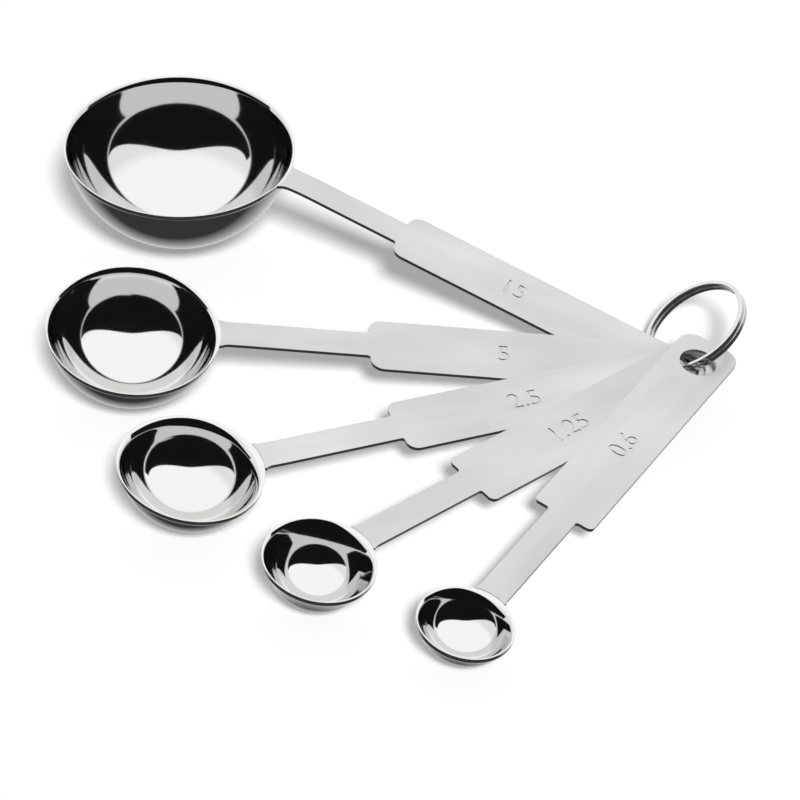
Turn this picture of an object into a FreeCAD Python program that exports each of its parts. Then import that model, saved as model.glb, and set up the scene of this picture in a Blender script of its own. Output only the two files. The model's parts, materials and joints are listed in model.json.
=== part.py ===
"""A set of five measuring spoons, fanned out on a split ring and lying on a table.

Each spoon is one pressed sheet: a flat handle plate with a hole, a narrow neck and a round bowl.
The plates are stacked on the ring, the largest spoon lowest, and every bowl rests on the table.
Millimetres and degrees, +Z up, origin at the bottom centre of the whole set.
"""
import FreeCAD, Part
import math
import os
import Sketcher
from FreeCAD import Placement, Rotation, Vector

# Sizes that the spoons share
SHARED = {
    "sheet": 0.7,
    "plate_width": 11.4,
    "neck_width": 5.4,
    "ring_play": 1.74,
    "hole_setback": 6.4,
    "end_corner": 3.0,
    "notch_corner": 0.5,
    "rim_flare": 2.5,
    "cut_overrun": 1.0,
}

# Sizes of the split ring, and how it lies
RING = {
    "ring_radius": 9.7,
    "wire_radius": 0.38,
    "turn_gap": 0.42,
    "ring_lift": 0.05,
    "wire_gap": 0.05,
    "ring_tilt": 37.1,
    "ring_heading": 188.2,
    "ring_seam": 234,
}

# Each spoon's own sizes, lowest first. The bowl radius and depth are the inside ones, reach is from
# the hole to the middle of the bowl, and crank is the bend where the neck meets the rim. Heading is
# the way the handle points on the table, lean is its sideways tilt, and seat_gap is the least gap
# under its plate, to the table or to the plate below. The ring's wire_gap is the least gap between
# its wire and the lowest plate, which it passes under.
SPOON_KEYS = (
    "bowl_radius", "bowl_depth", "reach", "plate_length", "shoulder", "crank", "heading", "lean", "seat_gap",
)
SPOONS = {
    "tablespoon": (20.5, 18.05, 97.1, 51.8, 2.4, -13.2, 161.1, -2.4, 0.12),
    "teaspoon": (14.3, 12.45, 96.7, 55.0, 2.4, -3.0, 188.6, -8.8, 0.34),
    "half_teaspoon": (11.7, 9.5, 94.5, 56.1, 2.0, 3.0, 208.3, -6.1, 0.16),
    "quarter_teaspoon": (8.8, 8.0, 87.3, 53.3, 1.2, 1.5, 225.5, -6.6, 0.12),
    "eighth_teaspoon": (7.4, 6.0, 81.2, 49.1, 1.0, 3.7, 241.8, -6.9, 0.45),
}

# Counts and shares that no size follows
TURNS = 2
QUARTERS = 4
SETTLE_ROUNDS = 8
PLATE_STEPS = 60
WIDTH_STEPS = 12
GAP_POINTS = 240
TONGUE_SHARE = 0.5
BALANCED = (1, -1)


def fill_sheet(doc):
    """The sheet of driving dimensions, one named cell each."""
    sheet = doc.addObject("Spreadsheet::Sheet", "Sizes")
    cells = dict(SHARED, **RING)
    for name, sizes in SPOONS.items():
        for key, number in zip(SPOON_KEYS, sizes):
            cells[f"{name}_{key}"] = number
    for row, (alias, number) in enumerate(cells.items(), 1):
        sheet.set(f"A{row}", alias)
        sheet.set(f"B{row}", str(number))
        sheet.setAlias(f"B{row}", alias)
    doc.recompute()
    return sheet


def spoon_formulas(name):
    """Expressions for a spoon's sizes: its cells, and the lengths that follow from them."""
    cell = {key: f"Sizes.{key}" for key in (*SHARED, *RING)}
    cell.update({key: f"Sizes.{name}_{key}" for key in SPOON_KEYS})
    derived = {
        "half_pack": "((2 * {wire_radius} + {turn_gap}) * %s / 2 + {wire_radius})" % TURNS,
        "hole_radius": "({half_pack} + {ring_play})",
        "half_plate": "({plate_width} / 2)",
        "half_neck": "({neck_width} / 2)",
        "ball": "(({bowl_radius}^2 + {bowl_depth}^2) / (2 * {bowl_depth}))",
        "ball_rise": "({ball} - {bowl_depth})",
        "outer_ball": "({ball} + {sheet})",
        "rim_radius": "sqrt({outer_ball}^2 - {ball_rise}^2)",
        "flare_side": "({half_neck} + {rim_flare})",
        "flare_reach": "sqrt(({rim_radius} + {rim_flare})^2 - {flare_side}^2)",
        "rim_ratio": "({rim_radius} / ({rim_radius} + {rim_flare}))",
        "bend": "({reach} - {flare_reach})",
        "rim_x": "({bend} + {flare_reach} * cos({crank}))",
        "rim_z": "({flare_reach} * sin({crank}))",
        "ball_x": "({rim_x} - {ball_rise} * sin({crank}))",
        "ball_z": "({rim_z} + {ball_rise} * cos({crank}))",
    }
    for key, text in derived.items():
        cell[key] = text.format(**cell)
    return cell


def new_sketch(body, name, role):
    """A sketch on one of the body's own origin planes."""
    sketch = body.newObject("Sketcher::SketchObject", name)
    plane = next(p for p in body.Origin.OriginFeatures if p.Role == role)
    sketch.AttachmentSupport = (plane, "")
    sketch.MapMode = "FlatFace"
    return sketch


def bind(sketch, constraint, expression):
    """Adds a dimension and ties it to its expression."""
    index = sketch.addConstraint(constraint)
    sketch.setExpression(f"Constraints[{index}]", expression)


def draw_outline(sketch, corners, arcs=None):
    """Draws a closed outline through corners, each a pair of expressions.

    The stretch after corner i is straight, or an arc where arcs[i] gives its radius and which way it
    turns: 1 to the left, -1 to the right.
    """
    arcs = arcs or {}
    points = [Vector(*(float(sketch.evalExpression(e)) for e in corner)) for corner in corners]
    ends = []
    for i, start in enumerate(points):
        stop = points[(i + 1) % len(points)]
        if i not in arcs:
            ends.append((sketch.addGeometry(Part.LineSegment(start, stop)), 1, 2))
            continue
        radius_expression, turn = arcs[i]
        radius = float(sketch.evalExpression(radius_expression))
        chord = stop - start
        side = Vector(-chord.y, chord.x).normalize() * turn
        centre = (start + stop) / 2 + side * math.sqrt(radius**2 - (chord.Length / 2) ** 2)
        angles = [math.atan2(p.y - centre.y, p.x - centre.x) for p in (start, stop)][::turn]
        circle = Part.Circle(centre, Vector(0, 0, 1), radius)
        geometry = sketch.addGeometry(Part.ArcOfCircle(circle, *angles))
        ends.append((geometry, *(1, 2)[::turn]))
    for i, (geometry, first, last) in enumerate(ends):
        following, following_first, _ = ends[(i + 1) % len(ends)]
        sketch.addConstraint(Sketcher.Constraint("Coincident", geometry, last, following, following_first))
        for direction, expression, place in zip("XY", corners[i], points[i]):
            rule = Sketcher.Constraint(f"Distance{direction}", -1, 1, geometry, first, place)
            bind(sketch, rule, expression)
        if i in arcs:
            radius = float(sketch.evalExpression(arcs[i][0]))
            bind(sketch, Sketcher.Constraint("Radius", geometry, radius), arcs[i][0])


def add_strip(body, size):
    """The sheet seen from the side: flat along the handle, then cranked into the rim's plane."""
    sketch = new_sketch(body, "SideSketch", "XZ_Plane")
    size = dict(size, tongue="({flare_reach} - {bowl_radius} * %s)" % TONGUE_SHARE)
    size["tongue"] = size["tongue"].format(**size)
    corners = [
        ("-{hole_setback}", "0"),
        ("{bend}", "0"),
        ("{bend} + {tongue} * cos({crank})", "{tongue} * sin({crank})"),
        ("{bend} + {tongue} * cos({crank}) + {sheet} * sin({crank})",
         "{tongue} * sin({crank}) - {sheet} * cos({crank})"),
        ("{bend} + {sheet} * tan({crank} / 2)", "-{sheet}"),
        ("-{hole_setback}", "-{sheet}"),
    ]
    draw_outline(sketch, [(x.format(**size), y.format(**size)) for x, y in corners])
    strip = body.newObject("PartDesign::Pad", "Strip")
    strip.Profile = sketch
    strip.SideType = "Symmetric"
    strip.setExpression("Length", size["plate_width"])
    return strip


def draw_neck_cut(sketch, size, side):
    """What is cut away beside the neck: from the plate's shoulder to the flare at the rim."""
    corners = [
        ("{plate_length} - {shoulder}", "{half_plate} + {cut_overrun}"),
        ("{plate_length} - {shoulder}", "{half_plate}"),
        ("{plate_length}", "{half_plate} - {shoulder}"),
        ("{plate_length}", "{half_neck} + {notch_corner}"),
        ("{plate_length} + {notch_corner}", "{half_neck}"),
        ("{bend}", "{half_neck}"),
        ("{bend} + {flare_reach} * (1 - {rim_ratio}) * cos({crank})", "{flare_side} * {rim_ratio}"),
        ("{rim_x}", "{flare_side} * {rim_ratio}"),
        ("{rim_x}", "{half_plate} + {cut_overrun}"),
    ]
    arcs = {1: ("{shoulder}", -side), 3: ("{notch_corner}", side), 5: ("{rim_flare}", side)}
    draw_mirrored(sketch, size, side, corners, arcs)


def draw_end_cut(sketch, size, side):
    """What is cut away to round a corner at the plate's free end."""
    corners = [
        ("-{hole_setback} - {cut_overrun}", "{half_plate} + {cut_overrun}"),
        ("-{hole_setback} - {cut_overrun}", "{half_plate} - {end_corner}"),
        ("-{hole_setback}", "{half_plate} - {end_corner}"),
        ("-{hole_setback} + {end_corner}", "{half_plate}"),
        ("-{hole_setback} + {end_corner}", "{half_plate} + {cut_overrun}"),
    ]
    draw_mirrored(sketch, size, side, corners, {2: ("{end_corner}", -side)})


def draw_mirrored(sketch, size, side, corners, arcs):
    """Draws an outline on one side of the handle's middle line."""
    placed = [(x.format(**size), f"{side} * ({y.format(**size)})") for x, y in corners]
    draw_outline(sketch, placed, {i: (radius.format(**size), turn) for i, (radius, turn) in arcs.items()})


def add_trim(body, size):
    """Cuts the strip to the handle's outline and pierces the hole for the ring."""
    sketch = new_sketch(body, "TrimSketch", "XY_Plane")
    for side in BALANCED:
        draw_neck_cut(sketch, size, side)
        draw_end_cut(sketch, size, side)
    radius = float(sketch.evalExpression(size["hole_radius"]))
    hole = sketch.addGeometry(Part.Circle(Vector(), Vector(0, 0, 1), radius))
    sketch.addConstraint(Sketcher.Constraint("Coincident", hole, 3, -1, 1))
    bind(sketch, Sketcher.Constraint("Radius", hole, radius), size["hole_radius"])
    trim = body.newObject("PartDesign::Pocket", "Trim")
    trim.Profile = sketch
    trim.Type = "ThroughAll"
    trim.SideType = "Symmetric"
    return trim


def rim_sketch(body, name, size):
    """A sketch in the bowl's own frame: origin in the middle of the rim, upright axis the bowl's."""
    sketch = new_sketch(body, name, "XZ_Plane")
    crank = float(sketch.evalExpression(size["crank"]))
    sketch.AttachmentOffset = Placement(Vector(), Rotation(Vector(0, 0, 1), crank))
    sketch.setExpression("AttachmentOffset.Base.x", size["rim_x"])
    sketch.setExpression("AttachmentOffset.Base.y", size["rim_z"])
    sketch.setExpression("AttachmentOffset.Rotation.Angle", size["crank"])
    return sketch


def add_bowl(body, size):
    """The bowl's shell, a cap between two balls of one centre, cut off flat at the rim."""
    sketch = rim_sketch(body, "BowlSketch", size)
    corners = [
        ("0", "-{bowl_depth} - {sheet}"),
        ("{rim_radius}", "0"),
        ("{bowl_radius}", "0"),
        ("0", "-{bowl_depth}"),
    ]
    arcs = {0: (size["outer_ball"], 1), 2: (size["ball"], -1)}
    draw_outline(sketch, [(x.format(**size), y.format(**size)) for x, y in corners], arcs)
    bowl = body.newObject("PartDesign::Revolution", "Bowl")
    bowl.Profile = sketch
    bowl.ReferenceAxis = (sketch, ["V_Axis"])
    return bowl


def add_hollow(body, size):
    """Clears the sheet that reaches into the bowl."""
    sketch = rim_sketch(body, "HollowSketch", size)
    corners = [("0", "0"), ("0", "-{bowl_depth}"), ("{bowl_radius}", "0")]
    placed = [(x.format(**size), y.format(**size)) for x, y in corners]
    draw_outline(sketch, placed, {1: (size["ball"], 1)})
    hollow = body.newObject("PartDesign::Groove", "Hollow")
    hollow.Profile = sketch
    hollow.ReferenceAxis = (sketch, ["V_Axis"])
    return hollow


def add_spoon(doc, name):
    """One spoon, in its own frame: origin in the hole at the plate's top face, +X towards the bowl."""
    body = doc.addObject("PartDesign::Body", name)
    body.Label = name
    size = spoon_formulas(name)
    add_strip(body, size)
    doc.recompute()
    volumes = [body.Shape.Volume]
    for step in (add_trim, add_bowl, add_hollow):
        step(body, size)
        doc.recompute()
        volumes.append(body.Shape.Volume)
    strip, trimmed, with_bowl, hollowed = volumes
    if not (trimmed < strip and with_bowl > trimmed and hollowed < with_bowl):
        raise RuntimeError(f"a cut missed on {name}: {volumes}")
    return body


def turn_pitch(size):
    """How far the ring's wire climbs in one turn."""
    return 2 * size("wire_radius") + size("turn_gap")


def ring_frame(size):
    """Where the ring lies: its axis tilted, its lowest point just clear of the table."""
    tilt = math.radians(size("ring_tilt"))
    half_pack = turn_pitch(size) * TURNS / 2 + size("wire_radius")
    drop = (size("ring_radius") + size("wire_radius")) * math.sin(tilt) + half_pack * math.cos(tilt)
    turn = Rotation(size("ring_heading"), size("ring_tilt"), 0)
    return Placement(Vector(0, 0, drop + size("ring_lift")), turn)


def ring_point(size, height):
    """The point of the ring's middle line, on the side of the stack, at a height above the table."""
    frame = ring_frame(size)
    rise = (height - frame.Base.z) / math.sin(math.radians(size("ring_tilt")))
    along = math.sqrt(size("ring_radius") ** 2 - rise**2)
    return frame.multVec(Vector(-rise, along, 0))


def lay_spoon(body, size, height):
    """Puts the spoon's hole on the ring at a height, with its bowl resting on the table."""
    formula = spoon_formulas(body.Name)
    ball_x, ball_z, ball = (float(body.evalExpression(formula[k])) for k in ("ball_x", "ball_z", "outer_ball"))
    lean = size(f"{body.Name}_lean")
    upright = ball_z * math.cos(math.radians(lean))
    pitch = math.asin((ball - height) / math.hypot(ball_x, upright)) - math.atan2(upright, ball_x)
    turn = Rotation(size(f"{body.Name}_heading"), -math.degrees(pitch), lean)
    middle = ring_point(size, height - size("sheet") / 2)
    body.Placement = Placement(Vector(middle.x, middle.y, height), turn)


def plate_box(size, name):
    """The plate's reach along and across the handle, from the hole."""
    return size("hole_setback"), size(f"{name}_plate_length"), size("plate_width") / 2


def least_gap(size, lower, upper):
    """The least gap under a plate, to the table, or to the plate below where the two overlap."""
    back, front, half = plate_box(size, upper.Name)
    under = lower.Placement.inverse() * upper.Placement if lower else upper.Placement
    gaps = []
    for i in range(PLATE_STEPS + 1):
        for j in range(WIDTH_STEPS + 1):
            x = -back + (back + front) * i / PLATE_STEPS
            y = -half + 2 * half * j / WIDTH_STEPS
            point = under.multVec(Vector(x, y, -size("sheet")))
            if lower is None or on_plate(size, lower.Name, point):
                gaps.append(point.z)
    return min(gaps)


def least_wire_gap(size, spoon):
    """The least gap between a plate's underside and the ring's wire that passes under it."""
    hole_radius = float(spoon.evalExpression(spoon_formulas(spoon.Name)["hole_radius"]))
    under = spoon.Placement.inverse() * ring_frame(size)
    gaps = []
    for i in range(GAP_POINTS + 1):
        point = under.multVec(helix_point(size, TURNS * i / GAP_POINTS)[0])
        beside_hole = math.hypot(point.x, point.y) + size("wire_radius") > hole_radius
        if beside_hole and point.z < 0 and on_plate(size, spoon.Name, point):
            gaps.append(-size("sheet") - size("wire_radius") - point.z)
    return min(gaps)


def on_plate(size, name, point):
    """Whether a point in a spoon's own frame lies over its plate."""
    back, front, half = plate_box(size, name)
    return -back <= point.x <= front and abs(point.y) <= half


def stack_spoons(size, spoons):
    """Lays the spoons on the ring from the lowest up, each plate just clear of what is below it.

    The lowest plate clears the table and the ring's wire, the others clear the plate below.
    """
    height = ring_frame(size).Base.z
    for lower, upper in zip([None] + spoons, spoons):
        lay_spoon(upper, size, height)
        for _ in range(SETTLE_ROUNDS):
            rise = size(f"{upper.Name}_seat_gap") - least_gap(size, lower, upper)
            if lower is None:
                rise = max(rise, size("wire_gap") - least_wire_gap(size, upper))
            height += rise
            lay_spoon(upper, size, height)


def helix_point(size, turn):
    """A point and direction on the wire's middle line, turn counted from its start."""
    pitch = turn_pitch(size)
    angle = math.radians(size("ring_seam")) + 2 * math.pi * turn
    radius = size("ring_radius")
    point = Vector(radius * math.cos(angle), radius * math.sin(angle), pitch * (turn - TURNS / 2))
    direction = Vector(-radius * math.sin(angle), radius * math.cos(angle), pitch / (2 * math.pi))
    return point, direction.normalize()


def arc_through(start, corner, stop):
    """The arc from start to stop whose end tangents meet at corner."""
    weight = (stop - start).Length / 2 / (corner - start).Length
    middle = (start + stop + corner * (2 * weight)) / (2 * (1 + weight))
    return Part.Arc(start, middle, stop).toShape()


def biarc(start, start_way, stop, stop_way):
    """Two tangent arcs that join two points in given directions."""
    span = stop - start
    ways = start_way + stop_way
    bend = 2 * (1 - start_way.dot(stop_way))
    along = span.dot(ways)
    arm = (math.sqrt(along**2 + bend * span.dot(span)) - along) / bend
    first, last = start + start_way * arm, stop - stop_way * arm
    joint = (first + last) / 2
    return [arc_through(start, first, joint), arc_through(joint, last, stop)]


def add_ring(doc, size):
    """The split ring: two turns of round wire with free ends."""
    knots = [helix_point(size, i / QUARTERS) for i in range(TURNS * QUARTERS + 1)]
    edges = [edge for start, stop in zip(knots, knots[1:]) for edge in biarc(*start, *stop)]
    path = Part.Wire(edges)
    section = Part.Wire(Part.Circle(*knots[0], size("wire_radius")).toShape())
    ring = doc.addObject("Part::Feature", "split_ring")
    ring.Label = "split_ring"
    ring.Shape = path.makePipeShell([section], True, False)
    ring.Placement = ring_frame(size)
    points = path.discretize(GAP_POINTS)
    apart = GAP_POINTS // TURNS // 2
    least = min((p - q).Length for i, p in enumerate(points) for q in points[i + apart:])
    print("least gap between the ring's turns", round(least - 2 * size("wire_radius"), 3))
    return ring


def centre_set(pieces):
    """Moves the whole set so that the middle of its underside is the origin."""
    box = FreeCAD.BoundBox()
    for piece in pieces:
        box.add(piece.Shape.optimalBoundingBox())
    shift = Vector(-box.Center.x, -box.Center.y, -box.ZMin)
    for piece in pieces:
        piece.Placement = Placement(shift, Rotation()) * piece.Placement


def main():
    doc = FreeCAD.newDocument("measuring_spoons")
    sheet = fill_sheet(doc)

    def size(alias):
        return float(sheet.get(alias))

    spoons = [add_spoon(doc, name) for name in SPOONS]
    stack_spoons(size, spoons)
    pieces = spoons + [add_ring(doc, size)]
    doc.recompute()
    centre_set(pieces)
    doc.recompute()
    failed = [o.Name for o in doc.Objects if "Invalid" in o.State or "Error" in o.State]
    failed += [p.Label for p in pieces if p.Shape.isNull() or not p.Shape.isValid()]
    if failed:
        raise RuntimeError(f"not built: {failed}")
    os.makedirs("parts", exist_ok=True)
    for piece in pieces:
        piece.Shape.exportStep(f"parts/{piece.Label}.step")
        print(piece.Label, round(piece.Shape.Volume, 2), piece.Placement)


main()
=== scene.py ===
"""The looks of five measuring spoons on a split ring, lying fanned out on a white table.

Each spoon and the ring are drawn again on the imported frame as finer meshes: rounded sheet edges, a
smooth bend at the neck, stamped numbers, mirror bowls and a close-wound ring. Their sizes are in
millimetres, as the frame was drawn, and turn into metres where a mesh is made. The studio and the
camera are in metres. Named angles are in degrees.
"""

import json
import math
from dataclasses import dataclass

import bpy
from mathutils import Matrix, Vector
from mathutils.geometry import delaunay_2d_cdt


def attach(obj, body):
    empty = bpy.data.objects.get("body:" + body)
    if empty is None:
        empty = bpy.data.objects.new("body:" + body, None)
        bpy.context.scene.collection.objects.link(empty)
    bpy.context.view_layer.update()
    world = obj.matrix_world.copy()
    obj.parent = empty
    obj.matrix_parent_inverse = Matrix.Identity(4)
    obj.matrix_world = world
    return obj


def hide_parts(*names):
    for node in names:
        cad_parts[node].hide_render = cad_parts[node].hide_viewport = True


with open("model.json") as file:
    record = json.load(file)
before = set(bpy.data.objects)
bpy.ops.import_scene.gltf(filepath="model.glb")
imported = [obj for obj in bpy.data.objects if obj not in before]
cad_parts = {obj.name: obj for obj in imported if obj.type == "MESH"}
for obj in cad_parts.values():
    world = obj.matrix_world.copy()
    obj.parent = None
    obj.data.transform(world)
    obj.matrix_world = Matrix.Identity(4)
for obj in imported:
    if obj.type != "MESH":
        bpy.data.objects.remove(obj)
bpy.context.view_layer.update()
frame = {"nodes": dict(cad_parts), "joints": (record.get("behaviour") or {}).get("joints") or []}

MM = 0.001

# Sizes that the spoons share, as in the frame
SHEET = 0.7
PLATE_WIDTH = 11.4
NECK_WIDTH = 5.4
HOLE_RADIUS = 3.3
HOLE_SETBACK = 6.4
END_CORNER = 3.0
NOTCH_CORNER = 0.5
RIM_FLARE = 2.5

# The handle: its bend to each side of the bend's middle, and the round of its sheared edges
BEND_RUN = 4.0
EDGE_ROUND = 0.08

# Where the handle meets the bowl: its lap under the lip, and the gap at which its flare stops
TONGUE_LAP = 0.06
FLARE_STOP = 0.22

# The lip: how far up it faces where the flank meets the roll and where the roll is cut off, how far its
# edge stands out past the frame's rim, and the rounds above and below the cut
FLANK_TRIM = 33
LIP_TRIM = 62
LIP_SPREAD = 0.1
LIP_SPREAD_AT_HANDLE = 0.45
LIP_ROUND = 0.15
BURR_ROUND = 0.08

# Where the lip's spread at the handle starts and stops giving way, as shares of the flare's half angle
SPREAD_FULL_SHARE = 0.3
SPREAD_END_SHARE = 1.5

# The stamped numbers: height, depth, width of the sloping sides, shortest edge and place on the plate
NUMBER_SIZE = 5.2
NUMBER_DEPTH = 0.14
NUMBER_SLOPE = 0.1
NUMBER_LEAST_EDGE = 0.05
NUMBER_PLACE_SHARE = 0.56

# Inside a bowl, the lean from facing up where the painted sheen starts to fade and where only painted shade
# is left
PAINTED_SHEEN_TO = 39
PAINTED_SHADE_FROM = 46

# The ring: middle radius, the wire's half width along the axis and half thickness, and how it lies
RING_RADIUS = 9.7
WIRE_HALF_WIDTH = 0.46
WIRE_HALF_THICKNESS = 0.38
WIRE_SQUARENESS = 7
WIRE_GAP = 0.02
RING_TURNS = 2
RING_STEP_TURNS = 0.022
RING_TILT = 37.1
RING_HEADING = 188.2
RING_SEAM = 199
RING_SETTLE = 0.15

# How finely curves are drawn, and how sharp a corner may get when an outline is moved
ARC_STEPS = 10
ROUND_STEPS = 4
BEND_STEPS = 10
BEND_SIDE_SHARES = (-0.8, -0.4, 0, 0.4, 0.8)
BOWL_SEGMENTS = 144
BOWL_STEPS = 40
ROLL_STEPS = 8
TONGUE_STEPS = 24
FLARE_STEPS = 16
HOLE_SEGMENTS = 64
RING_STEPS = 240
WIRE_SEGMENTS = 24
MITRE_LIMIT = 0.5

# The steel: how far apart the spoons lie in the grain's pattern, the grain's detail, its depth in
# metres under full bump, and the blue in a shade as a share of its red
PATTERN_STEP = 40
NOISE_DETAIL = 6.0
RELIEF_DEPTH = 0.00002
BLUE_SHARE = 0.995

# Places in a piece's list of materials
SATIN, MIRROR = 0, 1
CHROME = 0


def eased(value, start, stop):
    """Nought before start and one after stop, with a smooth step between."""
    share = min(max((value - start) / (stop - start), 0), 1)
    return share * share * (3 - 2 * share)


def toward(turn):
    """The flat direction at an angle from the X axis, in radians."""
    return Vector((math.cos(turn), math.sin(turn)))


def lower_meeting(first, first_reach, second, second_reach):
    """The lower of the two points that lie at the given distances from two places."""
    gap = second - first
    onward = gap.normalized()
    along = (first_reach**2 - second_reach**2 + gap.length_squared) / (2 * gap.length)
    aside = Vector((-onward.y, onward.x)) * math.sqrt(first_reach**2 - along**2)
    middle = first + onward * along
    return min(middle + aside, middle - aside, key=lambda place: place.y)


@dataclass
class Spoon:
    """One spoon's own sizes, with the number stamped on its handle.

    The reach runs from the hole to the bowl's axis, the shoulder rounds the plate's corners at the neck,
    the crank is the neck's bend, and flank and roll are the radii of the lip's two curves.
    """

    bowl_radius: float
    bowl_depth: float
    reach: float
    plate_length: float
    shoulder: float
    crank: float
    flank: float
    roll: float
    number: str

    def __post_init__(self):
        frame_ball = (self.bowl_radius**2 + self.bowl_depth**2) / (2 * self.bowl_depth)
        frame_rise = frame_ball - self.bowl_depth
        self.rim_radius = math.sqrt((frame_ball + SHEET)**2 - frame_rise**2)
        self.flare_side = NECK_WIDTH / 2 + RIM_FLARE
        self.flare_reach = math.sqrt((self.rim_radius + RIM_FLARE)**2 - self.flare_side**2)
        self.flare_turn = math.atan2(self.flare_side, self.flare_reach)
        self.bend = self.reach - self.flare_reach

        roll_place = toward(-math.radians(LIP_TRIM)) * self.roll
        roll_place.x += self.rim_radius + LIP_SPREAD
        to_flank = toward(-math.radians(FLANK_TRIM)) * (self.flank - self.roll)
        self.has_flank = self.flank > self.roll
        self.flank_place = roll_place + to_flank
        depth = self.bowl_depth + self.flank
        spare = self.flank_place.length_squared - depth**2
        self.ball_rise = spare / (2 * (depth + self.flank_place.y))
        self.ball = self.bowl_depth + self.ball_rise
        self.outer_ball = self.ball + SHEET

    def lip(self, way):
        """The lip along a direction from the bowl's axis: its edge's distance and the roll's middle."""
        aside = abs(math.pi - way % (2 * math.pi)) / self.flare_turn
        given_way = eased(aside, SPREAD_FULL_SHARE, SPREAD_END_SHARE)
        inset = (LIP_SPREAD_AT_HANDLE - LIP_SPREAD) * given_way
        edge = Vector((self.rim_radius + LIP_SPREAD_AT_HANDLE - inset, 0))
        if self.has_flank:
            wall, wall_reach = self.flank_place, self.flank - self.roll
        else:
            wall, wall_reach = Vector((0, self.ball_rise)), self.ball + self.roll
        return edge.x, lower_meeting(edge, self.roll, wall, wall_reach)

    def along(self, x):
        """The sheet's own frame at a distance along the handle: X onward, Z out of the top face."""
        crank = math.radians(self.crank)
        radius = BEND_RUN / math.tan(crank / 2)
        start = self.bend - BEND_RUN
        run = min(max(x - start, 0), 2 * BEND_RUN)
        turn = crank * run / (2 * BEND_RUN)
        straight = x - start - run
        place = Vector((start + radius * math.sin(turn), 0, radius * (1 - math.cos(turn))))
        place += Vector((math.cos(turn), 0, math.sin(turn))) * straight
        return Matrix.Translation(place) @ Matrix.Rotation(-turn, 4, "Y")


# Bowl radius and depth, reach, plate length, shoulder, crank, flank, roll and number
SPOONS = {
    "tablespoon": Spoon(20.5, 18.05, 97.1, 51.8, 2.4, -13.2, 2.0, 2.0, "15"),
    "teaspoon": Spoon(14.3, 12.45, 96.7, 55.0, 2.4, -3.0, 2.0, 2.0, "5"),
    "half_teaspoon": Spoon(11.7, 9.5, 94.5, 56.1, 2.0, 3.0, 3.0, 3.0, "2.5"),
    "quarter_teaspoon": Spoon(8.8, 8.0, 87.3, 53.3, 1.2, 1.5, 25.0, 2.0, "1.25"),
    "eighth_teaspoon": Spoon(7.4, 6.0, 81.2, 49.1, 1.0, 3.7, 12.0, 2.0, "0.6"),
}


class Skin:
    """Points with their own normals and painted sheen, and faces with a finish, gathered for one mesh.

    The grain's pattern is read at a distance, so that no two spoons show the same.
    """

    def __init__(self, pattern_distance=0.0):
        self.pattern_offset = Vector((0, 0, pattern_distance))
        self.points = []
        self.normals = []
        self.painted_sheen = []
        self.faces = []
        self.finishes = []

    def add(self, point, normal, painted_sheen=0.0):
        """Adds a point and gives its number."""
        self.points.append(point)
        self.normals.append(normal.normalized())
        self.painted_sheen.append(painted_sheen)
        return len(self.points) - 1

    def face(self, corners, finish):
        """Adds a face, turned to the side that its points' normals show."""
        first, second, *_, last = (self.points[i] for i in corners)
        side = sum((self.normals[i] for i in corners), Vector())
        outside = (second - first).cross(last - first).dot(side) > 0
        self.faces.append(corners if outside else corners[::-1])
        self.finishes.append(finish)

    def strip(self, rows, finish):
        """Joins closed rows of points, each to the next."""
        for low, high in zip(rows, rows[1:]):
            for i, j in zip(range(len(low)), [*range(1, len(low)), 0]):
                self.face((low[i], low[j], high[j], high[i]), finish)

    def fan(self, middle, row, finish):
        """Joins a closed row of points to one point."""
        for i, j in zip(row, row[1:] + row[:1]):
            self.face((middle, i, j), finish)

    def piece(self, name, place, finishes):
        """The finished object at the origin, with its place in its mesh."""
        mesh = bpy.data.meshes.new(name)
        mesh.from_pydata([place @ (point * MM) for point in self.points], [], self.faces)
        for finish in finishes:
            mesh.materials.append(finish)
        mesh.polygons.foreach_set("material_index", self.finishes)
        mesh.shade_smooth()
        facing = place.to_3x3()
        mesh.normals_split_custom_set_from_vertices([facing @ normal for normal in self.normals])
        own = mesh.attributes.new("own_place", "FLOAT_VECTOR", "POINT")
        own_places = [point + self.pattern_offset for point in self.points]
        own.data.foreach_set("vector", [value for own_place in own_places for value in own_place])
        # The painted sheen and shade go on the mesh as a point attribute, which the bowls' colour follows
        painted_sheen = mesh.attributes.new("painted_sheen", "FLOAT", "POINT")
        painted_sheen.data.foreach_set("value", self.painted_sheen)
        piece = bpy.data.objects.new(name, mesh)
        bpy.context.collection.objects.link(piece)
        return piece


def arc(middle, radius, start, stop, steps=ARC_STEPS):
    """Points on an arc in the plane, angles in degrees."""
    x, y = middle
    angles = [math.radians(start + (stop - start) * i / steps) for i in range(steps + 1)]
    return [Vector((x + radius * math.cos(a), y + radius * math.sin(a))) for a in angles]


def edge_normals(loop):
    """For each point of a closed walk, the right-hand normals of the edges before and after it."""
    steps = [b - a for a, b in zip(loop, loop[1:] + loop[:1])]
    normals = [Vector((step.y, -step.x)) for step in steps]
    return list(zip(normals[-1:] + normals[:-1], normals))


def offset(loop, depth):
    """A closed walk moved to its left, where the sheet lies."""
    moved = []
    for point, (before, after) in zip(loop, edge_normals(loop)):
        before, after = before.normalized(), after.normalized()
        moved.append(point - (before + after) * (depth / max(1 + before.dot(after), MITRE_LIMIT)))
    return moved


def holds(loop, point):
    """Whether a point lies inside a closed walk."""
    inside = False
    for a, b in zip(loop, loop[1:] + loop[:1]):
        if (a.y > point.y) != (b.y > point.y):
            inside ^= point.x < a.x + (b.x - a.x) * (point.y - a.y) / (b.y - a.y)
    return inside


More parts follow.
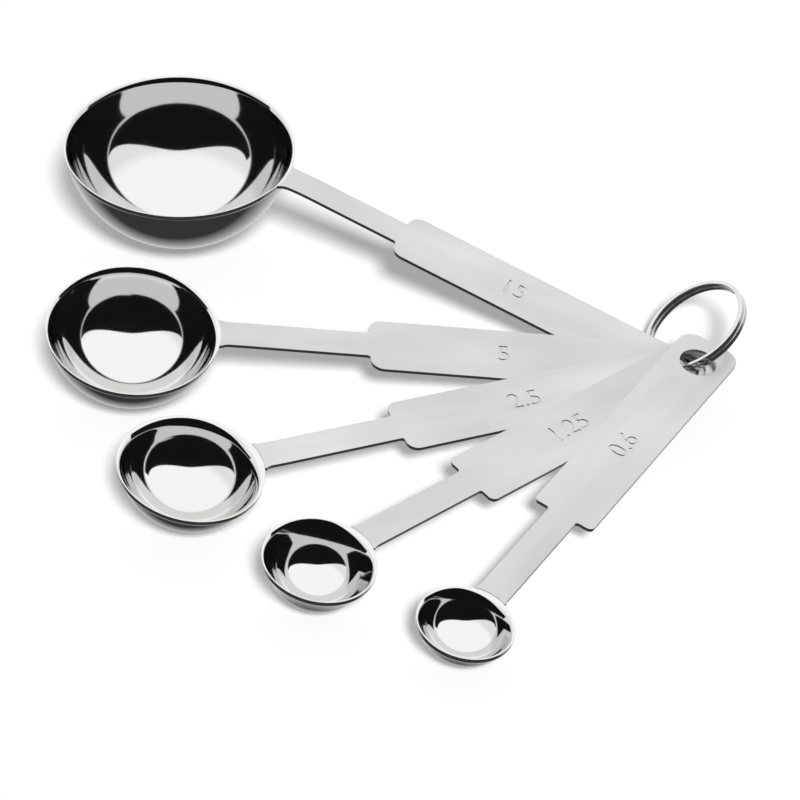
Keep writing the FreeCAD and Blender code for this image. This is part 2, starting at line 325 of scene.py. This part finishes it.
def flat_faces(loops, loose=()):
    """Triangles that fill the space between closed walks, in the plane."""
    points, edges = list(loose), []
    for loop in loops:
        first, count = len(points), len(loop)
        points += loop
        edges += [(first + i, first + (i + 1) % count) for i in range(count)]
    whole_hull, merge = 0, 1e-6
    points, _, faces, *_ = delaunay_2d_cdt(points, edges, [], whole_hull, merge, False)
    middles = [sum((points[i] for i in corners), Vector((0, 0))) / len(corners) for corners in faces]
    within = [sum(holds(loop, middle) for loop in loops) % 2 == 1 for middle in middles]
    return points, [corners for corners, kept in zip(faces, within) if kept]


def handle_side(spoon):
    """The handle's left edge, from the free end to where it runs into the rim."""
    half_plate, half_neck = PLATE_WIDTH / 2, NECK_WIDTH / 2
    shoulder, notch = spoon.shoulder, NOTCH_CORNER
    points = arc((END_CORNER - HOLE_SETBACK, half_plate - END_CORNER), END_CORNER, 180, 90)
    points += arc((spoon.plate_length - shoulder, half_plate - shoulder), shoulder, 90, 0)
    points += arc((spoon.plate_length + notch, half_neck + notch), notch, 180, 270)
    for i in range(BEND_STEPS):
        points.append(Vector((spoon.bend - BEND_RUN * (1 - i / BEND_STEPS), half_neck)))
    flare_end = 360 - math.degrees(spoon.flare_turn)
    for point in arc((spoon.bend, spoon.flare_side), RIM_FLARE, 270, flare_end, FLARE_STEPS):
        out = point - Vector((spoon.reach, 0))
        edge, _ = spoon.lip(math.atan2(out.y, out.x))
        if out.length > edge + FLARE_STOP:
            points.append(point)
    return points


def handle_outline(spoon):
    """The handle from above, walked so that the sheet lies on the left."""
    left = handle_side(spoon)
    right = [Vector((p.x, -p.y)) for p in left]
    end_turn = math.atan2(left[-1].y, spoon.reach - left[-1].x)
    tongue = []
    for i in range(TONGUE_STEPS + 1):
        way = math.pi + end_turn * (1 - 2 * i / TONGUE_STEPS)
        edge, _ = spoon.lip(way)
        distance = edge - TONGUE_LAP
        tongue.append(Vector((spoon.reach + distance * math.cos(way), distance * math.sin(way))))
    return right + tongue + left[::-1]


def closed_walks(mesh):
    """The closed lines of a mesh of edges, each as its points in order."""
    follows = {}
    for edge in mesh.edges:
        for a, b in (edge.vertices, reversed(edge.vertices)):
            follows.setdefault(a, []).append(b)
    walks, seen = [], set()
    for first in follows:
        if first in seen:
            continue
        walk, here = [], first
        while here is not None:
            seen.add(here)
            walk.append(mesh.vertices[here].co)
            here = next((n for n in follows[here] if n not in seen), None)
        walks.append(walk)
    return walks


def sheet_on_left(loop, loops):
    """A number's outline, walked clockwise, or anticlockwise where it goes round a counter."""
    around = sum(holds(other, loop[0]) for other in loops if other is not loop)
    area = sum(a.cross(b) for a, b in zip(loop, loop[1:] + loop[:1]))
    return loop if (area > 0) == (around % 2 == 1) else loop[::-1]


def number_loops(spoon):
    """The outlines of the spoon's number on its plate, walked with the sheet on the left."""
    curve = bpy.data.curves.new("number", "FONT")
    curve.body = spoon.number
    curve.size = NUMBER_SIZE
    curve.align_x = "CENTER"
    curve.align_y = "CENTER"
    curve.fill_mode = "NONE"
    curve.resolution_u = ROUND_STEPS
    text = bpy.data.objects.new("number", curve)
    mesh = bpy.data.meshes.new_from_object(text)
    middle = NUMBER_PLACE_SHARE * spoon.plate_length
    loops = []
    for walk in closed_walks(mesh):
        loop = [Vector((middle - point.x, -point.y)) for point in walk]
        steps = zip(loop[-1:] + loop, loop)
        loops.append([b for a, b in steps if (b - a).length > NUMBER_LEAST_EDGE])
    bpy.data.objects.remove(text)
    bpy.data.meshes.remove(mesh)
    bpy.data.curves.remove(curve)
    return [sheet_on_left(loop, loops) for loop in loops]


def put(skin, spoon, flat, height, normal):
    """Adds a point of the sheet, given flat, at its place on the bent handle."""
    place = spoon.along(flat.x)
    return skin.add(place @ Vector((0, flat.y, height)), place.to_3x3() @ normal)


def add_cap(skin, spoon, loops, height, up, loose=()):
    """A flat face of the sheet at a height, facing up for 1 and down for -1."""
    points, faces = flat_faces(loops, loose)
    numbers = [put(skin, spoon, point, height, Vector((0, 0, up))) for point in points]
    for corners in faces:
        skin.face(tuple(numbers[i] for i in corners), SATIN)


def add_sheared_edge(skin, spoon, loop):
    """The sheet's side along a closed walk, with its two corners rounded."""
    turns = [math.pi / 2 * i / ROUND_STEPS for i in range(ROUND_STEPS + 1)]
    normals = edge_normals(loop)
    rows = []
    for corner, up, corner_turns in ((-EDGE_ROUND, 1, turns), (EDGE_ROUND - SHEET, -1, turns[::-1])):
        for turn in corner_turns:
            outward, upward = math.sin(turn), up * math.cos(turn)
            height = corner + EDGE_ROUND * upward
            row = []
            for point, (before, after) in zip(offset(loop, EDGE_ROUND * (1 - outward)), normals):
                side = (before + after).normalized() * outward
                row.append(put(skin, spoon, point, height, Vector((*side, upward))))
            rows.append(row)
    skin.strip(rows, SATIN)


def add_number(skin, spoon, loops):
    """The stamped number: a sunken floor and sloping sides."""
    floors = [offset(loop, -NUMBER_SLOPE) for loop in loops]
    add_cap(skin, spoon, floors, -NUMBER_DEPTH, 1)
    for loop, floor in zip(loops, floors):
        normals = edge_normals(loop)
        rows = []
        for line, height in ((loop, 0), (floor, -NUMBER_DEPTH)):
            row = []
            for point, (before, after) in zip(line, normals):
                side = (before.normalized() + after.normalized()).normalized()
                normal = Vector((*side * NUMBER_DEPTH, NUMBER_SLOPE))
                row.append(put(skin, spoon, point, height, normal))
            rows.append(row)
        skin.strip(rows, SATIN)


def add_handle(skin, spoon):
    """Plate, neck and the tongue that runs into the bowl's lip."""
    outline = handle_outline(spoon)
    hole = arc((0, 0), HOLE_RADIUS, 360, 0, HOLE_SEGMENTS)[:-1]
    number = number_loops(spoon)
    inset = [offset(outline, EDGE_ROUND), offset(hole, EDGE_ROUND)]
    bend_points = []
    for i in range(BEND_STEPS + 1):
        x = spoon.bend + BEND_RUN * (2 * i / BEND_STEPS - 1)
        for side_share in BEND_SIDE_SHARES:
            bend_points.append(Vector((x, side_share * NECK_WIDTH / 2)))
    add_cap(skin, spoon, inset + number, 0, 1, bend_points)
    add_cap(skin, spoon, inset, -SHEET, -1, bend_points)
    add_sheared_edge(skin, spoon, outline)
    add_sheared_edge(skin, spoon, hole)
    add_number(skin, spoon, number)


def bowl_profile(spoon, way):
    """The bowl's section from the inside bottom over the lip to the outside bottom.

    Each entry is a distance from the axis, a height and the angle that the surface faces. The section
    is a row of arcs, and an arc that runs on from another leaves out the point that they share.
    """
    edge, roll = spoon.lip(way)
    flank = spoon.flank_place if spoon.has_flank else roll
    wall = math.asin((spoon.ball_rise - flank.y) / (spoon.ball + spoon.flank))
    flank_turn = math.atan2(roll.y - flank.y, flank.x - roll.x) if spoon.has_flank else wall
    under_roll = spoon.roll - SHEET
    over, burr = spoon.roll - LIP_ROUND, under_roll + BURR_ROUND
    top_turn = math.acos((roll.x - edge + LIP_ROUND) / over)
    burr_turn = math.acos((roll.x - edge + BURR_ROUND) / burr)
    top = Vector((edge - LIP_ROUND, roll.y + over * math.sin(top_turn)))
    under = Vector((edge - BURR_ROUND, roll.y + burr * math.sin(burr_turn)))
    ball = Vector((0, spoon.ball_rise))
    inward, upward, outward, downward = math.pi, math.pi / 2, 0, -math.pi / 2
    rounds = (
        (ball, -spoon.ball, upward, inward - wall, BOWL_STEPS),
        (flank, spoon.flank, inward - wall, inward - flank_turn, ROLL_STEPS),
        (roll, spoon.roll, inward - flank_turn, inward - top_turn, ROLL_STEPS),
        (top, LIP_ROUND, inward - top_turn, outward, ROLL_STEPS),
        (under, BURR_ROUND, outward, -burr_turn, ROUND_STEPS),
        (roll, -under_roll, -burr_turn, -flank_turn, ROLL_STEPS),
        (flank, SHEET - spoon.flank, -flank_turn, -wall, ROLL_STEPS),
        (ball, spoon.outer_ball, -wall, downward, BOWL_STEPS),
    )
    profile = []
    for middle, radius, start, stop, steps in rounds:
        if start == stop:
            continue
        first = 0 if start in (upward, outward) else 1
        for i in range(first, steps + 1):
            turn = start + (stop - start) * i / steps
            distance, height = middle + toward(turn) * radius
            profile.append((distance, height, turn))
    return profile


def add_bowl(skin, spoon):
    """The polished bowl, drawn round its own axis, with a lip that rolls outward and into the handle."""
    place = spoon.along(spoon.reach)
    facing = place.to_3x3()
    columns = []
    for i in range(BOWL_SEGMENTS):
        way = 2 * math.pi * i / BOWL_SEGMENTS
        outward = toward(way).to_3d()
        column = []
        for distance, height, turn in bowl_profile(spoon, way)[1:-1]:
            point = outward * distance + Vector((0, 0, height))
            normal = outward * math.cos(turn) + Vector((0, 0, math.sin(turn)))
            lean = math.degrees(turn) - 90
            # Painted sheen and shade: a brighter colour where the inside faces up, a darker one on the
            # steep walls and the outside
            painted_bright = 1 - eased(lean, PAINTED_SHEEN_TO, PAINTED_SHADE_FROM) if turn > 0 else 0.0
            column.append(skin.add(place @ point, facing @ normal, painted_bright))
        columns.append(column)
    rows = [list(row) for row in zip(*columns)]
    skin.strip(rows, MIRROR)
    depth = spoon.bowl_depth
    # The inside pole gets the full painted sheen and the outside pole the painted shade
    for height, up, painted_bright, row in ((-depth, 1, 1.0, rows[0]), (-depth - SHEET, -1, 0.0, rows[-1])):
        pole = skin.add(place @ Vector((0, 0, height)), facing @ Vector((0, 0, up)), painted_bright)
        skin.fan(pole, row, MIRROR)


def surface_middle(mesh):
    """The middle of a mesh's surface."""
    area = sum(p.area for p in mesh.polygons)
    return sum((p.center * p.area for p in mesh.polygons), Vector()) / area


def spoon_place(name):
    """Where a spoon lies: hole at the origin on the top face, X along the handle, Z out of the plate."""
    mesh = frame["nodes"][name].data
    joint = next(j for j in frame["joints"] if j["child"] == name)
    hole = Vector(joint["pos_m"])
    up = max((p for p in mesh.polygons if p.normal.z > 0), key=lambda p: p.area).normal.copy()
    onward = surface_middle(mesh) - hole
    onward = (onward - up * onward.dot(up)).normalized()
    place = Matrix((onward, up.cross(onward), up)).transposed().to_4x4()
    place.translation = hole + up * (SHEET / 2 * MM)
    return place


def ring_place():
    """Where the ring lies: Z is its axis."""
    middle = surface_middle(frame["nodes"]["split_ring"].data)
    heading = Matrix.Rotation(math.radians(RING_HEADING), 4, "Z")
    tilt = Matrix.Rotation(math.radians(RING_TILT), 4, "Y")
    return Matrix.Translation(middle - Vector((0, 0, RING_SETTLE * MM))) @ (heading @ tilt)


def wire_section():
    """The wire's section, a rectangle with round corners, as distance out and along the axis."""
    steep = WIRE_SQUARENESS - 2
    section = []
    for i in range(WIRE_SEGMENTS):
        turn = 2 * math.pi * i / WIRE_SEGMENTS
        out, along = math.cos(turn), math.sin(turn)
        reach = (abs(out)**WIRE_SQUARENESS + abs(along)**WIRE_SQUARENESS) ** (-1 / WIRE_SQUARENESS)
        point = Vector((WIRE_HALF_THICKNESS * out * reach, WIRE_HALF_WIDTH * along * reach))
        normal_out = out * abs(out)**steep / WIRE_HALF_THICKNESS
        normal_along = along * abs(along)**steep / WIRE_HALF_WIDTH
        section.append((point, Vector((normal_out, normal_along)).normalized()))
    return section


def ring_way(turn):
    """The direction round the ring's axis after a number of turns from the seam."""
    return math.radians(RING_SEAM) + 2 * math.pi * turn


def add_ring(skin):
    """Two flat turns of wire side by side, with a short step from one to the other and cut ends."""
    pitch = 2 * WIRE_HALF_WIDTH + WIRE_GAP
    first, last = RING_STEP_TURNS, RING_TURNS - RING_STEP_TURNS
    step_from, step_to = RING_TURNS / 2 - RING_STEP_TURNS, RING_TURNS / 2 + RING_STEP_TURNS
    section = wire_section()
    rows = []
    for i in range(RING_STEPS + 1):
        turn = first + (last - first) * i / RING_STEPS
        outward = toward(ring_way(turn)).to_3d()
        rise = Vector((0, 0, pitch * (eased(turn, step_from, step_to) - 0.5)))
        row = []
        for point, normal in section:
            place = outward * (RING_RADIUS + point.x) + Vector((0, 0, point.y)) + rise
            row.append(skin.add(place, outward * normal.x + Vector((0, 0, normal.y))))
        rows.append(row)
    skin.strip(rows, CHROME)
    for row, turn, onward in ((rows[0], first, -1), (rows[-1], last, 1)):
        points = [skin.points[i] for i in row]
        middle = sum(points, Vector()) / len(points)
        way = ring_way(turn)
        facing = Vector((-math.sin(way), math.cos(way), 0)) * onward
        end = [skin.add(point, facing) for point in points]
        skin.fan(skin.add(middle, facing), end, CHROME)


def add_noise(nodes, links, place, scale):
    """Noise over a place in the piece's own axes, with so many grains to the millimetre along each."""
    stretch = nodes.new("ShaderNodeMapping")
    stretch.inputs["Scale"].default_value = scale
    noise = nodes.new("ShaderNodeTexNoise")
    noise.inputs["Scale"].default_value = 1.0
    noise.inputs["Detail"].default_value = NOISE_DETAIL
    links.new(place.outputs["Vector"], stretch.inputs["Vector"])
    links.new(stretch.outputs["Vector"], noise.inputs["Vector"])
    return noise


def steel(name, shades, patches, roughness, grain, bump):
    """Bare steel: its roughness follows a stretched grain, and its shade follows random patches or the
    painted sheen.
    """
    material = bpy.data.materials.new(name)
    material.use_nodes = True
    nodes, links = material.node_tree.nodes, material.node_tree.links
    shader = nodes["Principled BSDF"]
    shader.inputs["Metallic"].default_value = 1.0
    place = nodes.new("ShaderNodeAttribute")
    place.attribute_name = "own_place"
    noise = add_noise(nodes, links, place, grain)
    tint = nodes.new("ShaderNodeValToRGB")
    for stop, shade in zip(tint.color_ramp.elements, shades):
        stop.color = (shade, shade, shade * BLUE_SHARE, 1)
    if patches:
        shaded_by = add_noise(nodes, links, place, patches)
    else:
        # The painted sheen: a brighter colour where a bowl's inside faces up, painted shade elsewhere
        shaded_by = nodes.new("ShaderNodeAttribute")
        shaded_by.attribute_name = "painted_sheen"
    links.new(shaded_by.outputs["Fac"], tint.inputs["Fac"])
    links.new(tint.outputs["Color"], shader.inputs["Base Color"])
    spread = nodes.new("ShaderNodeMapRange")
    spread.inputs["To Min"].default_value, spread.inputs["To Max"].default_value = roughness
    links.new(noise.outputs["Fac"], spread.inputs["Value"])
    links.new(spread.outputs["Result"], shader.inputs["Roughness"])
    relief = nodes.new("ShaderNodeBump")
    relief.inputs["Strength"].default_value = bump
    relief.inputs["Distance"].default_value = RELIEF_DEPTH
    links.new(noise.outputs["Fac"], relief.inputs["Height"])
    links.new(relief.outputs["Normal"], shader.inputs["Normal"])
    return material


satin = steel(
    "satin_steel",
    shades=(0.55, 0.86),
    patches=(0.035, 0.11, 0.11),
    roughness=(0.26, 0.34),
    grain=(0.26, 5.2, 5.2),
    bump=0.08,
)
# The bowls' colour follows the painted sheen: 0.9 where the inside faces up, a painted bright reflection,
# and 0.73 on the walls and outside, painted shade
mirror = steel(
    "mirror_steel",
    shades=(0.73, 0.9),
    patches=None,
    roughness=(0.04, 0.08),
    grain=(0.4, 0.4, 0.4),
    bump=0.01,
)
chrome = steel(
    "ring_chrome",
    shades=(0.78, 0.84),
    patches=(0.9, 0.9, 0.9),
    roughness=(0.12, 0.2),
    grain=(0.9, 0.9, 0.9),
    bump=0.03,
)

for count, (name, spoon) in enumerate(SPOONS.items()):
    skin = Skin(count * PATTERN_STEP)
    add_handle(skin, spoon)
    add_bowl(skin, spoon)
    piece = skin.piece(f"{name}_shape", spoon_place(name), [satin, mirror])
    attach(piece, name)
    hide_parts(name)

skin = Skin()
add_ring(skin)
piece = skin.piece("split_ring_shape", ring_place(), [chrome])
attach(piece, "split_ring")
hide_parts("split_ring")

# The studio. The white room shows in the steel, with a dark screen round the camera's side.
FLOOR_SIZE = 6.0
PAPER_SHADE = 0.8
FLOOR_LIGHT = 0.28
CLOTH_SHADE = 0.008
CLOTH_DISTANCE = 1.0
CLOTH_TOP = 1.5
CLOTH_LOW = 0.4
CLOTH_LOW_FROM = 97
CLOTH_HALF_TURN = 100
CLOTH_HEADING = 7
CLOTH_PANELS = 40
ROOM_LIGHT = 0.15
NEAR_BELOW_LIGHT = 0.045
FAR_BELOW_LIGHT = 0.8
BELOW_FROM, BELOW_TO = 0.08, 0.8
HORIZON_BLUR = 0.03
LAMP_STRENGTH = 3.2
LAMP_SPREAD = 13.0
LAMP_FROM = (0.19, -0.87, 1.0)

# The camera, found by lining the frame up with the photograph
IMAGE_SIZE = 800
FOCAL_PIXELS = 3235.7
SENSOR_WIDTH = 36.0
CAMERA_AT = (0.00293, -0.4374, 0.36659)
CAMERA_DOWN = 39.841
CAMERA_ROLL = -5.198


def panel(name, corners, faces):
    """A stage panel of four-sided faces."""
    mesh = bpy.data.meshes.new(name)
    mesh.from_pydata(corners, [], faces)
    obj = bpy.data.objects.new(name, mesh)
    bpy.context.collection.objects.link(obj)
    return obj


def plain_nodes(name):
    """A new material with only its output node, and its nodes and links."""
    material = bpy.data.materials.new(name)
    material.use_nodes = True
    nodes = material.node_tree.nodes
    nodes.remove(nodes["Principled BSDF"])
    return material, nodes, material.node_tree.links


def add_floor():
    """The white table, which keeps the shadows and has some light of its own for the camera."""
    half = FLOOR_SIZE / 2
    corners = [(-half, -half, 0), (half, -half, 0), (half, half, 0), (-half, half, 0)]
    floor = panel("floor", corners, [(0, 1, 2, 3)])
    floor.visible_glossy = False
    paper, nodes, links = plain_nodes("white_paper")
    diffuse = nodes.new("ShaderNodeBsdfDiffuse")
    diffuse.inputs["Color"].default_value = (PAPER_SHADE, PAPER_SHADE, PAPER_SHADE, 1)
    glow = nodes.new("ShaderNodeEmission")
    rays = nodes.new("ShaderNodeLightPath")
    strength = nodes.new("ShaderNodeMath")
    strength.operation = "MULTIPLY"
    strength.inputs[1].default_value = FLOOR_LIGHT
    both = nodes.new("ShaderNodeAddShader")
    links.new(rays.outputs["Is Camera Ray"], strength.inputs[0])
    links.new(strength.outputs[0], glow.inputs["Strength"])
    links.new(diffuse.outputs[0], both.inputs[0])
    links.new(glow.outputs[0], both.inputs[1])
    links.new(both.outputs[0], nodes["Material Output"].inputs["Surface"])
    floor.data.materials.append(paper)


def add_screen():
    """The dark screen, tallest in its middle and falling off to both sides, which only reflections show."""
    black, nodes, links = plain_nodes("dark_cloth")
    cloth = nodes.new("ShaderNodeEmission")
    cloth.inputs["Color"].default_value = (CLOTH_SHADE, CLOTH_SHADE, CLOTH_SHADE, 1)
    links.new(cloth.outputs[0], nodes["Material Output"].inputs["Surface"])
    corners = []
    for i in range(CLOTH_PANELS + 1):
        turn = CLOTH_HALF_TURN * (2 * i / CLOTH_PANELS - 1)
        way = math.radians(turn + CLOTH_HEADING)
        x, y = CLOTH_DISTANCE * math.sin(way), -CLOTH_DISTANCE * math.cos(way)
        top = CLOTH_LOW + (CLOTH_TOP - CLOTH_LOW) * eased(abs(turn), CLOTH_LOW_FROM, 0)
        corners += [(x, y, 0), (x, y, top)]
    faces = [(2 * i, 2 * i + 2, 2 * i + 3, 2 * i + 1) for i in range(CLOTH_PANELS)]
    screen = panel("dark_screen", corners, faces)
    screen.visible_camera = False
    screen.visible_diffuse = False
    screen.visible_shadow = False
    screen.data.materials.append(black)


def add_room():
    """The white room: what the camera and the steel see of it, and the soft light that it gives.

    Above the horizon it is white. Below, where the steel sees the table, it is dark on the camera's side
    and pale on the far side.
    """
    world = bpy.data.worlds.new("white_room")
    bpy.context.scene.world = world
    world.use_nodes = True
    nodes, links = world.node_tree.nodes, world.node_tree.links
    rays = nodes.new("ShaderNodeLightPath")
    seen = rays.outputs["Is Camera Ray"]
    for kind in ("Is Glossy Ray", "Is Transmission Ray"):
        either = nodes.new("ShaderNodeMath")
        either.operation = "MAXIMUM"
        links.new(seen, either.inputs[0])
        links.new(rays.outputs[kind], either.inputs[1])
        seen = either.outputs[0]
    direction = nodes.new("ShaderNodeTexCoord")
    split = nodes.new("ShaderNodeSeparateXYZ")
    links.new(direction.outputs["Generated"], split.inputs["Vector"])
    below = nodes.new("ShaderNodeMapRange")
    below.inputs["From Min"].default_value = BELOW_FROM
    below.inputs["From Max"].default_value = BELOW_TO
    below.inputs["To Min"].default_value = NEAR_BELOW_LIGHT
    below.inputs["To Max"].default_value = FAR_BELOW_LIGHT
    links.new(split.outputs["Y"], below.inputs["Value"])
    height = nodes.new("ShaderNodeMapRange")
    height.inputs["From Min"].default_value = -HORIZON_BLUR
    height.inputs["From Max"].default_value = HORIZON_BLUR
    links.new(split.outputs["Z"], height.inputs["Value"])
    links.new(below.outputs["Result"], height.inputs["To Min"])
    strength = nodes.new("ShaderNodeMapRange")
    strength.inputs["To Min"].default_value = ROOM_LIGHT
    links.new(seen, strength.inputs["Value"])
    links.new(height.outputs["Result"], strength.inputs["To Max"])
    links.new(strength.outputs["Result"], nodes["Background"].inputs["Strength"])
    nodes["Background"].inputs["Color"].default_value = (1, 1, 1, 1)


def add_lamp():
    """The soft lamp that casts the shadows."""
    lamp = bpy.data.lights.new("soft_lamp", "SUN")
    lamp.energy = LAMP_STRENGTH
    lamp.angle = math.radians(LAMP_SPREAD)
    lamp_object = bpy.data.objects.new("soft_lamp", lamp)
    lamp_object.matrix_world = Vector(LAMP_FROM).to_track_quat("Z", "Y").to_matrix().to_4x4()
    lamp_object.visible_glossy = False
    bpy.context.collection.objects.link(lamp_object)


def add_camera():
    """The camera at the photograph's place."""
    camera = bpy.data.cameras.new("camera")
    camera.sensor_width = SENSOR_WIDTH
    camera.lens = FOCAL_PIXELS / IMAGE_SIZE * SENSOR_WIDTH
    camera_object = bpy.data.objects.new("camera", camera)
    tip = Matrix.Rotation(math.radians(90 - CAMERA_DOWN), 4, "X")
    roll = Matrix.Rotation(math.radians(-CAMERA_ROLL), 4, "Z")
    camera_object.matrix_world = Matrix.Translation(CAMERA_AT) @ tip @ roll
    bpy.context.collection.objects.link(camera_object)
    bpy.context.scene.camera = camera_object


add_floor()
add_screen()
add_room()
add_lamp()
add_camera()
bpy.context.scene.view_settings.view_transform = "Standard"
